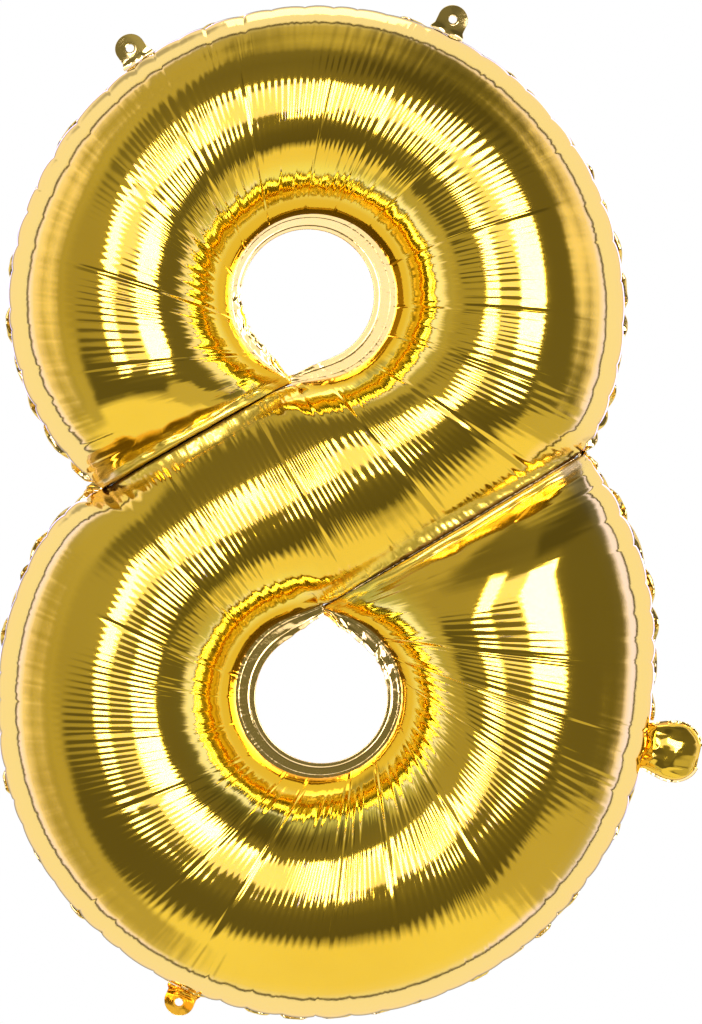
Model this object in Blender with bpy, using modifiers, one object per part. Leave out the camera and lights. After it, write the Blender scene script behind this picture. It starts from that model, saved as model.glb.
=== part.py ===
# Foil number balloon: an inflated figure eight that hangs by punched tabs.
# +Z is up and the balloon faces -Y. The origin is midway between the holes of the two top tabs.
# The films are welded in the plane Y = 0. Places in that plane are (x, z) from the middle of the
# figure, and angles are in degrees from +X towards +Z.

import math

import bmesh
import bpy
from mathutils import Matrix, Vector

MM = 0.001

# Film. One film is really 0.03 mm thick, and the walls here stand in for it.
FILM_WALL = 0.3 * MM
WELD_WALL = 0.3 * MM
FIT_GAP = 0.3 * MM

# The weld round each lobe: centre, radius, and share of the radius at angles between the waists
UPPER_CENTRE = Vector((-5 * MM, 167 * MM))
UPPER_RADIUS = 261 * MM
UPPER_SHAPE = ((200, 0.951), (180, 0.989), (150, 0.996), (90, 1.0), (30, 1.0), (-10, 0.992))
LOWER_CENTRE = Vector((4 * MM, -157 * MM))
LOWER_RADIUS = 277 * MM
LOWER_SHAPE = (
    (146, 0.979), (160, 0.993), (180, 1.0), (205, 1.007), (250, 0.986), (270, 0.979),
    (300, 0.971), (330, 0.975), (360, 0.993), (378, 1.039), (393, 1.068),
)

# The waists, where the two lobes meet: angle and share of the radius, on the upper lobe
LEFT_WAIST = (219.5, 0.885)
RIGHT_WAIST = (-27.5, 0.977)

# The holes: centre of the weld round each, and the direction of the corner where its slit starts
UPPER_HOLE = Vector((-7.7 * MM, 185 * MM))
UPPER_CORNER = 257
UPPER_CUT_SHIFT = Vector((-4.5 * MM, 1 * MM))
LOWER_HOLE = Vector((-3 * MM, -157.5 * MM))
LOWER_CORNER = 88
LOWER_CUT_SHIFT = Vector((2.5 * MM, -1.5 * MM))
HOLE_RADIUS = 71.5 * MM
HOLE_CORNER_REACH = 4.5 * MM
RING_WIDTH = 14.5 * MM
RING_CORNER_WIDTH = 5 * MM

# Where the loop round a hole gives way to the diagonal tube, as an angle at the hole
UPPER_HANDOVER = -38
LOWER_HANDOVER = 141

# The tube that the films make
TUBE_DEPTH_SHARE = 0.95
TUBE_HALF_DEPTH = 90 * MM
END_RISE_LENGTH = 75 * MM
LOOP_STATIONS = 22
DIAGONAL_STATIONS = 11
TUBE_SIDES = 8
END_STEPS = (0.0, 0.0025, 0.012, 0.03)
LOOP_START = 0.06
UPPER_EDGE_LEAD = 0.54
LOWER_EDGE_LAG = 0.40

# Welds
OUTLINE_STEP = 5
HOLE_SIDES = 48
WELD_UNDER_FILM = 2 * MM
FLANGE_WIDTH = 7 * MM
SLIT_HALF_WIDTH = 1.2 * MM
LEFT_WAIST_WEB = 20 * MM
RIGHT_WAIST_WEB = 8 * MM
WAIST_TRIM = 4
SLIT_END_GAP = 6 * MM

# Tabs: width, hole, and hole centre above the root
TAB_WIDTH = 26 * MM
TAB_HOLE_RADIUS = 3.6 * MM
TAB_HOLE_HEIGHT = 14 * MM
TAB_TOP_SIDES = 12
TAB_HOLE_SIDES = 20
TOP_LEFT_TAB_ANGLE = 124.6
TOP_RIGHT_TAB_ANGLE = 65.4
BOTTOM_LEFT_TAB_ANGLE = 244.2
BOTTOM_LEFT_TAB_FOLD = 60

# Inflation neck, and the valve sleeve that runs through it into the balloon
NECK_ANGLE = 351
NECK_DIRECTION = -12
NECK_ROOT_OUT = 3 * MM
NECK_LENGTH = 46 * MM
NECK_ROOT_WIDTH = 40 * MM
NECK_END_WIDTH = 47 * MM
NECK_ROOT_DEPTH = 2.2 * MM
NECK_PUFF_DEPTH = 7.5 * MM
NECK_SIDE_CLEARANCE = 1.5 * MM
NECK_SEAM_WIDTH = 4 * MM
NECK_STATIONS = 8
NECK_SIDES = 8
VALVE_WIDTH = 24 * MM
VALVE_INNER_LENGTH = 75 * MM
VALVE_WALL = 0.15 * MM
VALVE_THROAT_DEPTH = 0.3 * MM
VALVE_OPEN_DEPTH = 1.2 * MM
VALVE_SIDES = 12
VALVE_STATIONS = 5

# Colours
GOLD = (0.93, 0.66, 0.12)
DULL_GOLD = (0.80, 0.56, 0.14)
CLEAR = (0.86, 0.88, 0.88)


def on_circle(angle):
    return Vector((math.cos(math.radians(angle)), math.sin(math.radians(angle))))


def mix(a, b, share):
    return a + (b - a) * share


def angle_near(offset, near):
    """The angle of a vector, on the turn that lies nearest the given angle."""
    angle = math.degrees(math.atan2(offset.y, offset.x))
    return angle + 360 * round((near - angle) / 360)


class Outline:
    """One lobe's weld line, a smooth curve through its shape's radii from one waist to the other."""

    def __init__(self, centre, radius, shape, first, last):
        start, end = first - centre, last - centre
        self.centre = centre
        self.first = angle_near(start, shape[0][0])
        self.last = angle_near(end, shape[-1][0])
        self.knots = [(self.first, start.length)]
        self.knots += [(angle, share * radius) for angle, share in shape]
        self.knots += [(self.last, end.length)]

    def slope(self, index):
        low, high = max(index - 1, 0), min(index + 1, len(self.knots) - 1)
        run = self.knots[high][0] - self.knots[low][0]
        return (self.knots[high][1] - self.knots[low][1]) / run

    def radius(self, angle):
        span = 0
        while span < len(self.knots) - 2 and (angle - self.knots[span + 1][0]) * self.turn() > 0:
            span += 1
        (a0, r0), (a1, r1) = self.knots[span], self.knots[span + 1]
        run = a1 - a0
        t = (angle - a0) / run
        m0, m1 = self.slope(span) * run, self.slope(span + 1) * run
        rise = r0 * (2 * t**3 - 3 * t**2 + 1) + m0 * (t**3 - 2 * t**2 + t)
        return rise + r1 * (3 * t**2 - 2 * t**3) + m1 * (t**3 - t**2)

    def turn(self):
        return 1 if self.last > self.first else -1

    def point(self, angle):
        return self.centre + on_circle(angle) * self.radius(angle)

    def normal(self, angle):
        along = self.point(angle + 0.5) - self.point(angle - 0.5)
        return Vector((along.y, -along.x)).normalized()


def drop_point(centre, radius, reach, corner, angle):
    """A point of a drop-shaped loop: a circle with one corner, joined to it by tangents."""
    half = math.degrees(math.acos(radius / (radius + reach)))
    off = (angle - corner + 180) % 360 - 180
    if abs(off) >= half:
        return centre + on_circle(angle) * radius
    lean = half if off >= 0 else -half
    return centre + on_circle(angle) * radius / math.cos(math.radians(off - lean))


def upper_hole(angle):
    return drop_point(UPPER_HOLE, HOLE_RADIUS, HOLE_CORNER_REACH, UPPER_CORNER, angle)


def lower_hole(angle):
    return drop_point(LOWER_HOLE, HOLE_RADIUS, HOLE_CORNER_REACH, LOWER_CORNER, angle)


def upper_lobe_point(place):
    return UPPER_CENTRE + on_circle(place[0]) * UPPER_RADIUS * place[1]


LEFT_WAIST_POINT = upper_lobe_point(LEFT_WAIST)
RIGHT_WAIST_POINT = upper_lobe_point(RIGHT_WAIST)
UPPER = Outline(UPPER_CENTRE, UPPER_RADIUS, UPPER_SHAPE, LEFT_WAIST_POINT, RIGHT_WAIST_POINT)
LOWER = Outline(LOWER_CENTRE, LOWER_RADIUS, LOWER_SHAPE, LEFT_WAIST_POINT, RIGHT_WAIST_POINT)
UPPER_SLIT = (upper_hole(UPPER_CORNER), LEFT_WAIST_POINT)
LOWER_SLIT = (lower_hole(LOWER_CORNER), RIGHT_WAIST_POINT)


def slit_normal(slit):
    """The upward normal of a slit's line."""
    along = (slit[1] - slit[0]).normalized()
    normal = Vector((-along.y, along.x))
    return normal if normal.y > 0 else -normal


def slit_then_arc(slit, arc, side, share):
    """A point on a slit's edge and then on the hole's weld, at a share of the whole length."""
    line = (slit[1] - slit[0]).length
    bend = abs(math.radians(arc[1] - arc[0])) * HOLE_RADIUS
    gone = share * (line + bend)
    if gone <= line:
        shift = slit_normal(slit) * SLIT_HALF_WIDTH * side
        return mix(slit[1], slit[0], gone / line) + shift
    hole = lower_hole if slit is LOWER_SLIT else upper_hole
    return hole(mix(arc[0], arc[1], (gone - line) / bend))


def rib_ends(section, share):
    """The two weld points that a cross-section of the tube spans, at a share of one section."""
    if section == 0:
        shift = slit_normal(UPPER_SLIT) * SLIT_HALF_WIDTH * (1 if share == 0 else 0)
        outer = UPPER.point(mix(UPPER.first, UPPER.last, share)) + shift
        return outer, upper_hole(mix(UPPER_CORNER, UPPER_HANDOVER, share)) + shift
    if section == 2:
        shift = slit_normal(LOWER_SLIT) * SLIT_HALF_WIDTH * (-1 if share == 1 else 0)
        outer = LOWER.point(mix(LOWER.first, LOWER.last, share)) + shift
        return lower_hole(mix(LOWER_HANDOVER, LOWER_CORNER + 360, share)) + shift, outer
    first = share + UPPER_EDGE_LEAD * share * (1 - share)
    second = share - LOWER_EDGE_LAG * share * (1 - share)
    a = slit_then_arc(LOWER_SLIT, (LOWER_CORNER, LOWER_HANDOVER), 1, first)
    b = slit_then_arc(UPPER_SLIT, (UPPER_CORNER - 360, UPPER_HANDOVER), -1, 1 - second)
    return a, b


def ribs():
    """Every cross-section in order along the tube, as (weld point, weld point, rise)."""
    shares = list(END_STEPS)
    shares += [mix(LOOP_START, 1.0, i / (LOOP_STATIONS - 1)) for i in range(LOOP_STATIONS)]
    found = [rib_ends(0, share) for share in shares]
    found += [rib_ends(1, i / DIAGONAL_STATIONS) for i in range(1, DIAGONAL_STATIONS)]
    found += [rib_ends(2, 1 - share) for share in reversed(shares)]
    middles = [(a + b) / 2 for a, b in found]
    gone = [0.0]
    for here, there in zip(middles, middles[1:]):
        gone.append(gone[-1] + (there - here).length)
    return [(a, b, end_rise(min(d, gone[-1] - d))) for (a, b), d in zip(found, gone)]


def end_rise(distance):
    """How far the tube has risen to its full depth, at a distance from its closed end."""
    left = 1 - min(distance / END_RISE_LENGTH, 1)
    return math.sqrt(1 - left**2)


def new_material(name, color, roughness, metallic=1.0, alpha=1.0):
    """A plain surface of one colour."""
    material = bpy.data.materials.new(name)
    material.use_nodes = True
    shader = material.node_tree.nodes["Principled BSDF"]
    shader.inputs["Base Color"].default_value = (*color, 1)
    shader.inputs["Roughness"].default_value = roughness
    shader.inputs["Metallic"].default_value = metallic
    shader.inputs["Alpha"].default_value = alpha
    return material


def add_object(name, data, material, frame, matrix=None):
    obj = bpy.data.objects.new(name, data)
    data.materials.append(material)
    bpy.data.collections["foil_number_balloon"].objects.link(obj)
    if matrix is not None:
        obj.matrix_local = matrix
    obj.parent = frame
    return obj


def add_wall(obj, thickness):
    wall = obj.modifiers.new("wall", "SOLIDIFY")
    wall.thickness = thickness
    wall.offset = -1
    wall.use_rim = True
    return wall


def mesh_from_grid(name, columns, rows, place, outward):
    """A smooth sheet: a grid whose points go where place(column, row) says, faced outwards."""
    bm = bmesh.new()
    bmesh.ops.create_grid(bm, x_segments=columns, y_segments=rows, size=1)
    for vert in bm.verts:
        column = round((vert.co.x + 1) / 2 * columns)
        row = round((vert.co.y + 1) / 2 * rows)
        vert.co = place(column, row)
    bm.normal_update()
    if sum(face.normal.dot(outward) for face in bm.faces) < 0:
        bmesh.ops.reverse_faces(bm, faces=bm.faces)
    mesh = bpy.data.meshes.new(name)
    bm.to_mesh(mesh)
    bm.free()
    mesh.shade_smooth()
    return mesh


def body_film(name, side, material, frame):
    """One film of the body, side -1 for the front and 1 for the back."""
    stations = ribs()
    lift = WELD_WALL / 2 + FIT_GAP

    def place(column, row):
        a, b, rise = stations[column]
        turn = math.pi * row / TUBE_SIDES
        flat = (a + b) / 2 + (a - b) / 2 * math.cos(turn)
        crest = min((a - b).length / 2 * TUBE_DEPTH_SHARE, TUBE_HALF_DEPTH)
        return Vector((flat.x, side * (lift + crest * math.sin(turn) * rise), flat.y))

    outward = Vector((0, side, 0))
    mesh = mesh_from_grid(name, len(stations) - 1, TUBE_SIDES, place, outward)
    obj = add_object(name, mesh, material, frame)
    add_wall(obj, FILM_WALL)
    return obj


def plate(name, loops, material, frame, matrix=None):
    """A flat weld or tab: loops of (x, z) points, filled and given the weld's thickness."""
    curve = bpy.data.curves.new(name, "CURVE")
    curve.dimensions = "2D"
    curve.fill_mode = "BOTH"
    curve.extrude = WELD_WALL / 2
    for loop in loops:
        spline = curve.splines.new("POLY")
        spline.points.add(len(loop) - 1)
        for point, place in zip(spline.points, loop):
            point.co = (place.x, place.y, 0, 1)
        spline.use_cyclic_u = True
    if matrix is None:
        matrix = Matrix.Rotation(math.pi / 2, 4, "X")
    return add_object(name, curve, material, frame, matrix)


def outline_stations():
    """Stations of the outer weld, clockwise from below the neck to above it."""
    half_gap = math.degrees((NECK_ROOT_WIDTH / 2 + NECK_SIDE_CLEARANCE) / LOWER_RADIUS)
    low, high = NECK_ANGLE - half_gap, NECK_ANGLE + half_gap
    left, right = Vector((-1, 0)), Vector((1, 0))
    stations = arc_stations(LOWER, low, LOWER.first + WAIST_TRIM)
    stations.append((LEFT_WAIST_POINT, left, LEFT_WAIST_WEB))
    stations += arc_stations(UPPER, UPPER.first - WAIST_TRIM, UPPER.last + WAIST_TRIM)
    stations.append((RIGHT_WAIST_POINT, right, RIGHT_WAIST_WEB))
    return stations + arc_stations(LOWER, LOWER.last - WAIST_TRIM, high)


def arc_stations(outline, first, last):
    steps = max(2, round(abs(last - first) / OUTLINE_STEP))
    angles = [mix(first, last, i / steps) for i in range(steps + 1)]
    return [(outline.point(angle), on_circle(angle), FLANGE_WIDTH) for angle in angles]


def outer_weld(material, frame):
    stations = outline_stations()
    outer = [point + out * width for point, out, width in stations]
    inner = [point - out * WELD_UNDER_FILM for point, out, width in stations]
    return plate("outer_seam_flange", [outer + inner[::-1]], material, frame)


def hole_weld(name, centre, shift, corner, material, frame):
    """The fused ring in a hole, from just under the films to the cut edge."""
    angles = [corner + 360 / HOLE_SIDES * i for i in range(HOLE_SIDES)]
    under, cut = HOLE_RADIUS + WELD_UNDER_FILM, HOLE_RADIUS - RING_WIDTH
    outer = [drop_point(centre, under, HOLE_CORNER_REACH, corner, angle) for angle in angles]
    reach = HOLE_CORNER_REACH + RING_WIDTH - RING_CORNER_WIDTH
    inner = [drop_point(centre + shift, cut, reach, corner, angle) for angle in angles]
    return plate(name, [outer, inner], material, frame)


def ring_gap(point, centre, corner):
    """How far a point lies outside the weld round a hole, along the hole's radius."""
    off = point - centre
    angle = math.degrees(math.atan2(off.y, off.x))
    edge = drop_point(centre, HOLE_RADIUS + WELD_UNDER_FILM, HOLE_CORNER_REACH, corner, angle)
    return off.length - (edge - centre).length


def slit_weld(name, slit, centre, corner, material, frame):
    """The fused line between the two sides of a slit, from clear of the hole's weld to the waist."""
    along = (slit[1] - slit[0]).normalized()
    across = slit_normal(slit) * (SLIT_HALF_WIDTH + WELD_UNDER_FILM)
    start, end = slit[0] + along * SLIT_END_GAP, slit[1] - along * SLIT_END_GAP
    while min(ring_gap(start + side, centre, corner) for side in (across, -across)) < FIT_GAP:
        start += along * FIT_GAP
    loop = [start + across, end + across, end - across, start - across]
    return plate(name, [loop], material, frame)


def tab_root(outline, angle):
    """(point, outward normal) of a tab's fold line, just off the outer weld's edge."""
    out = outline.normal(angle)
    return outline.point(angle) + out * (FLANGE_WIDTH + 2 * FIT_GAP), out


def fold_frame(root, out, fold=0.0):
    """A frame on a fold line: X along the fold, Y outwards, folded towards the front."""
    forward, axis = Vector((0, -1, 0)), Vector((out.y, 0, -out.x))
    flat = Vector((out.x, 0, out.y))
    turn = math.radians(fold)
    up = flat * math.cos(turn) + forward * math.sin(turn)
    matrix = Matrix((axis, up, axis.cross(up))).transposed().to_4x4()
    matrix.translation = Vector((root.x, 0, root.y))
    return matrix


def tab(name, outline, angle, fold, material, frame):
    root, out = tab_root(outline, angle)
    half = TAB_WIDTH / 2
    centre = Vector((0, TAB_HOLE_HEIGHT))
    edge = [centre + on_circle(180 / TAB_TOP_SIDES * i) * half for i in range(TAB_TOP_SIDES + 1)]
    edge += [Vector((-half, 0)), Vector((half, 0))]
    hole = [centre + on_circle(360 / TAB_HOLE_SIDES * i) * TAB_HOLE_RADIUS for i in range(TAB_HOLE_SIDES)]
    return plate(name, [edge, hole], material, frame, fold_frame(root, out, fold))


def tab_hole(outline, angle):
    root, out = tab_root(outline, angle)
    return root + out * TAB_HOLE_HEIGHT


def neck_root():
    out = on_circle(NECK_DIRECTION)
    return LOWER.point(NECK_ANGLE) + out * NECK_ROOT_OUT, out


def neck_half_width(share):
    return mix(NECK_ROOT_WIDTH, NECK_END_WIDTH, math.sin(share * math.pi / 2)) / 2


def neck_depth(share):
    return NECK_ROOT_DEPTH + (NECK_PUFF_DEPTH - NECK_ROOT_DEPTH) * math.sin(math.pi * share)


def neck_film(name, side, material, frame):
    """One film of the neck, puffed between its welded sides."""
    lift = WELD_WALL / 2 + FIT_GAP

    def place(column, row):
        share, turn = column / NECK_STATIONS, math.pi * row / NECK_SIDES
        x = neck_half_width(share) * math.cos(turn)
        return Vector((x, NECK_LENGTH * share, -side * (lift + neck_depth(share) * math.sin(turn))))

    mesh = mesh_from_grid(name, NECK_STATIONS, NECK_SIDES, place, Vector((0, 0, -side)))
    obj = add_object(name, mesh, material, frame, fold_frame(*neck_root()))
    add_wall(obj, FILM_WALL)
    return obj


def neck_weld(name, side, material, frame):
    """The fused edge along one side of the neck."""
    shares = [i / NECK_STATIONS for i in range(NECK_STATIONS + 1)]
    inner = [Vector((side * (neck_half_width(s) - WELD_UNDER_FILM), s * NECK_LENGTH)) for s in shares]
    outer = [Vector((side * (neck_half_width(s) + NECK_SEAM_WIDTH * s), s * NECK_LENGTH)) for s in shares]
    return plate(name, [outer + inner[::-1]], material, frame, fold_frame(*neck_root()))


def flat_sleeve(name, start, end, depths, material, frame):
    """A flattened open sleeve along the neck's line, its half depth going from one value to the other."""
    bm = bmesh.new()
    bmesh.ops.create_cone(
        bm, segments=VALVE_SIDES, radius1=1, radius2=1, depth=1, cap_ends=False
    )
    long_edges = [edge for edge in bm.edges if abs(edge.verts[0].co.z - edge.verts[1].co.z) > 0.5]
    bmesh.ops.subdivide_edges(bm, edges=long_edges, cuts=VALVE_STATIONS - 1)
    for vert in bm.verts:
        share = vert.co.z + 0.5
        turn = math.atan2(vert.co.y, vert.co.x)
        depth = mix(depths[0], depths[1], min(1, share * 2))
        x = VALVE_WIDTH / 2 * math.cos(turn)
        vert.co = Vector((x, mix(start, end, share), depth * math.sin(turn)))
    bm.normal_update()
    if sum(face.normal.z * face.calc_center_median().z for face in bm.faces) < 0:
        bmesh.ops.reverse_faces(bm, faces=bm.faces)
    mesh = bpy.data.meshes.new(name)
    bm.to_mesh(mesh)
    bm.free()
    mesh.shade_smooth()
    obj = add_object(name, mesh, material, frame, fold_frame(*neck_root()))
    add_wall(obj, VALVE_WALL)
    return obj


def clear_scene():
    for obj in list(bpy.data.objects):
        bpy.data.objects.remove(obj, do_unlink=True)


def build():
    clear_scene()
    collection = bpy.data.collections.new("foil_number_balloon")
    bpy.context.scene.collection.children.link(collection)
    gold = new_material("gold_film", GOLD, 0.14)
    weld = new_material("gold_weld", DULL_GOLD, 0.30)
    clear = new_material("clear_valve_film", CLEAR, 0.35, metallic=0.0, alpha=0.6)

    frame = bpy.data.objects.new("balloon_frame", None)
    collection.objects.link(frame)
    hang = (tab_hole(UPPER, TOP_LEFT_TAB_ANGLE) + tab_hole(UPPER, TOP_RIGHT_TAB_ANGLE)) / 2
    frame.location = (-hang.x, 0, -hang.y)

    body_film("front_film", -1, gold, frame)
    body_film("back_film", 1, gold, frame)
    outer_weld(weld, frame)
    hole_weld("upper_hole_seam", UPPER_HOLE, UPPER_CUT_SHIFT, UPPER_CORNER, weld, frame)
    hole_weld("lower_hole_seam", LOWER_HOLE, LOWER_CUT_SHIFT, LOWER_CORNER, weld, frame)
    slit_weld("upper_slit_seam", UPPER_SLIT, UPPER_HOLE, UPPER_CORNER, weld, frame)
    slit_weld("lower_slit_seam", LOWER_SLIT, LOWER_HOLE, LOWER_CORNER, weld, frame)
    tab("top_left_tab", UPPER, TOP_LEFT_TAB_ANGLE, 0, weld, frame)
    tab("top_right_tab", UPPER, TOP_RIGHT_TAB_ANGLE, 0, weld, frame)
    tab("bottom_left_tab", LOWER, BOTTOM_LEFT_TAB_ANGLE, BOTTOM_LEFT_TAB_FOLD, weld, frame)
    neck_film("neck_front_film", -1, gold, frame)
    neck_film("neck_back_film", 1, gold, frame)
    neck_weld("neck_upper_seam", -1, weld, frame)
    neck_weld("neck_lower_seam", 1, weld, frame)
    throat, mouth = VALVE_THROAT_DEPTH, VALVE_OPEN_DEPTH
    inner = -NECK_ROOT_OUT - VALVE_INNER_LENGTH
    flat_sleeve("valve_sleeve", -NECK_ROOT_OUT / 2, inner, (throat, mouth), clear, frame)
    flat_sleeve("neck_valve_mouth", FIT_GAP, NECK_LENGTH - FIT_GAP, (throat, mouth), clear, frame)
    bpy.context.view_layer.update()


build()
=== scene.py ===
import math

import bmesh
import bpy
import numpy as np
from mathutils import Matrix, Vector


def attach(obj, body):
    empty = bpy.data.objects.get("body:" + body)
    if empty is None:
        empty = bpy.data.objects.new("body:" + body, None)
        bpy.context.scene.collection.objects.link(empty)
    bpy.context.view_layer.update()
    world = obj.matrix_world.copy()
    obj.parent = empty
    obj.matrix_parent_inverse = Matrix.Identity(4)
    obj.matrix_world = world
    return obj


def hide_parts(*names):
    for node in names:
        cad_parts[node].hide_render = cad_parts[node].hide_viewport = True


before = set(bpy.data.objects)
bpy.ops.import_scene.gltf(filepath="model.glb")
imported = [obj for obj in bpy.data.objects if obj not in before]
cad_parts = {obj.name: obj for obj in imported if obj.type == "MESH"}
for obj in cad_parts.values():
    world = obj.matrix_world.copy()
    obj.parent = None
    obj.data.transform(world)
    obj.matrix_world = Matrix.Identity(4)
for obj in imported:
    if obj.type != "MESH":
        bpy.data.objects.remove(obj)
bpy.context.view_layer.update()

# The figure's weld lines, in metres from the middle of the figure, as (x, z). Angles are in degrees from +X.
figure = {
    "shift": (0.0263, -0.411681),  # the middle of the figure, seen from the hanging point
    "upperCentre": (-0.005, 0.167),
    "upperRadius": 0.261,
    "upperShape": ((200, 0.951), (180, 0.989), (150, 0.996), (90, 1.0), (30, 1.0), (-10, 0.992)),
    "lowerCentre": (0.004, -0.157),
    "lowerRadius": 0.277,
    "lowerShape": ((146, 0.979), (160, 0.993), (180, 1.0), (205, 1.007), (250, 0.986), (270, 0.979),
                   (300, 0.971), (330, 0.975), (360, 0.993), (378, 1.039), (393, 1.068)),
    "leftWaist": (219.5, 0.885),  # angle and share of the radius, on the upper lobe
    "rightWaist": (-27.5, 0.977),
    "upperHole": (-0.0077, 0.185),
    "upperCorner": 257,
    "lowerHole": (-0.003, -0.1575),
    "lowerCorner": 88,
    "holeRadius": 0.0715,
    "cornerReach": 0.0045,
    "upperHandover": -38,
    "lowerHandover": 141,
    "slitHalfWidth": 0.0012,
    "weldWall": 0.0003,
    "fitGap": 0.0003,
    "stations": 900,         # places along each of the tube's three parts, before they are evened out
    "upperEdgeLead": 0.54,   # how the diagonal's two edges run ahead of or behind its middle
    "lowerEdgeLag": 0.40,
    "ribSmoothing": 0.010,
}
figureMiddle = np.array(figure["shift"])


def onCircle(angle):
    turn = np.radians(np.asarray(angle, float))
    return np.stack([np.cos(turn), np.sin(turn)], -1)


def smoothStep(low, high, value):
    t = np.clip((value - low) / (high - low), 0, 1)
    return t * t * (3 - 2 * t)


def lobePlace(place):
    return np.array(figure["upperCentre"]) + onCircle(place[0]) * figure["upperRadius"] * place[1]


leftWaist = lobePlace(figure["leftWaist"])
rightWaist = lobePlace(figure["rightWaist"])


# One lobe's weld line: a smooth curve through its radii, from the left waist to the right one
def makeLobe(name):
    centre = np.array(figure[name + "Centre"])
    shape = figure[name + "Shape"]
    ends = []
    for waist, near in ((leftWaist, shape[0][0]), (rightWaist, shape[-1][0])):
        off = waist - centre
        angle = math.degrees(math.atan2(off[1], off[0]))
        ends.append((angle + 360 * round((near - angle) / 360), float(np.hypot(*off))))
    knots = [ends[0]] + [(a, s * figure[name + "Radius"]) for a, s in shape] + [ends[1]]
    angles, radii = np.array(knots).T
    return {"centre": centre, "angles": angles, "radii": radii, "slopes": knotSlopes(angles, radii)}


def knotSlopes(angles, radii):
    low = np.maximum(np.arange(len(angles)) - 1, 0)
    high = np.minimum(np.arange(len(angles)) + 1, len(angles) - 1)
    return (radii[high] - radii[low]) / (angles[high] - angles[low])


def lobePoint(lobe, angle, out=0.0):
    angle = np.asarray(angle, float)
    turn = 1 if lobe["angles"][-1] > lobe["angles"][0] else -1
    span = np.clip(np.searchsorted(lobe["angles"] * turn, angle * turn) - 1, 0, len(lobe["angles"]) - 2)
    a0, a1 = lobe["angles"][span], lobe["angles"][span + 1]
    r0, r1 = lobe["radii"][span], lobe["radii"][span + 1]
    m0, m1 = lobe["slopes"][span] * (a1 - a0), lobe["slopes"][span + 1] * (a1 - a0)
    t = (angle - a0) / (a1 - a0)
    radius = (r0 * (2 * t**3 - 3 * t**2 + 1) + m0 * (t**3 - 2 * t**2 + t)
              + r1 * (3 * t**2 - 2 * t**3) + m1 * (t**3 - t**2))
    return lobe["centre"] + onCircle(angle) * (radius + out)[..., None]


# A hole's weld line: a circle with one corner, where its slit starts
def dropPoint(centre, radius, reach, corner, angle):
    half = math.degrees(math.acos(radius / (radius + reach)))
    off = (np.asarray(angle, float) - corner + 180) % 360 - 180
    lean = np.where(off >= 0, half, -half)
    flat = radius / np.cos(np.radians(np.where(np.abs(off) < half, off - lean, 0)))
    return np.asarray(centre) + onCircle(angle) * flat[..., None]


def holePoint(name, angle):
    centre, corner = figure[name + "Hole"], figure[name + "Corner"]
    return dropPoint(centre, figure["holeRadius"], figure["cornerReach"], corner, angle)


upperLobe = makeLobe("upper")
lowerLobe = makeLobe("lower")
upperSlit = (holePoint("upper", figure["upperCorner"]), leftWaist)
lowerSlit = (holePoint("lower", figure["lowerCorner"]), rightWaist)


def slitNormal(slit):
    along = (slit[1] - slit[0]) / np.hypot(*(slit[1] - slit[0]))
    normal = np.array([-along[1], along[0]])
    return normal if normal[1] > 0 else -normal


# Both weld lines that the diagonal tube follows run along a slit and then round a hole
def slitThenArc(slit, hole, arc, share):
    line = np.hypot(*(slit[1] - slit[0]))
    bend = abs(math.radians(arc[1] - arc[0])) * figure["holeRadius"]
    gone = share * (line + bend)
    onSlit = gone <= line
    straight = slit[1] + (slit[0] - slit[1]) * (gone / line)[:, None]
    arcPart = holePoint(hole, arc[0] + (arc[1] - arc[0]) * np.clip((gone - line) / bend, 0, 1))
    return np.where(onSlit[:, None], straight, arcPart), onSlit.astype(float)


# The tube as cross-sections from weld a to weld b, evenly spaced along its middle line. A kind holds
# how much that end lies on the outer weld, a hole's weld or a slit.
def tubeRibs(columns):
    stations = figure["stations"]
    share = np.linspace(0, 1, stations, endpoint=False) + 0.5 / stations
    one, none = np.ones(stations), np.zeros(stations)
    corner, handover = figure["upperCorner"], figure["upperHandover"]
    first, last = upperLobe["angles"][[0, -1]]
    parts = [(lobePoint(upperLobe, first + (last - first) * share),
              holePoint("upper", corner + (handover - corner) * share),
              (one, none, none), (none, one, none), none)]
    lead = share + figure["upperEdgeLead"] * share * (1 - share)
    lag = share - figure["lowerEdgeLag"] * share * (1 - share)
    a, aSlit = slitThenArc(lowerSlit, "lower", (figure["lowerCorner"], figure["lowerHandover"]), lead)
    b, bSlit = slitThenArc(upperSlit, "upper", (corner - 360, handover), 1 - lag)
    parts.append((a, b, (none, 1 - aSlit, aSlit), (none, 1 - bSlit, bSlit), one))
    first, last = lowerLobe["angles"][[0, -1]]
    around = figure["lowerHandover"] + (figure["lowerCorner"] + 360 - figure["lowerHandover"]) * share
    parts.append((holePoint("lower", around), lobePoint(lowerLobe, first + (last - first) * share),
                  (none, one, none), (one, none, none), 2 * one))
    table = np.concatenate([np.column_stack([p[0], p[1], *p[2], *p[3], p[4]]) for p in parts])
    gone = runLength((table[:, :2] + table[:, 2:4]) / 2)
    even = np.linspace(0, gone[-1], columns + 1)
    table = resample(table, gone, even)
    smooth = smoothAlong(table[:, :10], figure["ribSmoothing"] / (gone[-1] / columns))
    return {"a": smooth[:, :2], "b": smooth[:, 2:4], "aKind": smooth[:, 4:7], "bKind": smooth[:, 7:10],
            "section": table[:, 10], "gone": even}


# Gaussian smoothing down the columns of a table, its ends kept where they are
def smoothAlong(table, width):
    reach = int(width * 3)
    weights = np.exp(-0.5 * (np.arange(-reach, reach + 1) / width) ** 2)
    before, after = 2 * table[0] - table[reach:0:-1], 2 * table[-1] - table[-2:-reach - 2:-1]
    padded = np.concatenate([before, table, after])
    return np.column_stack([np.convolve(c, weights / weights.sum(), "valid") for c in padded.T])


def resample(table, gone, even):
    return np.column_stack([np.interp(even, gone, column) for column in table.T])


def runLength(line):
    return np.concatenate([[0], np.cumsum(np.hypot(*np.diff(line, axis=0).T))])


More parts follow.
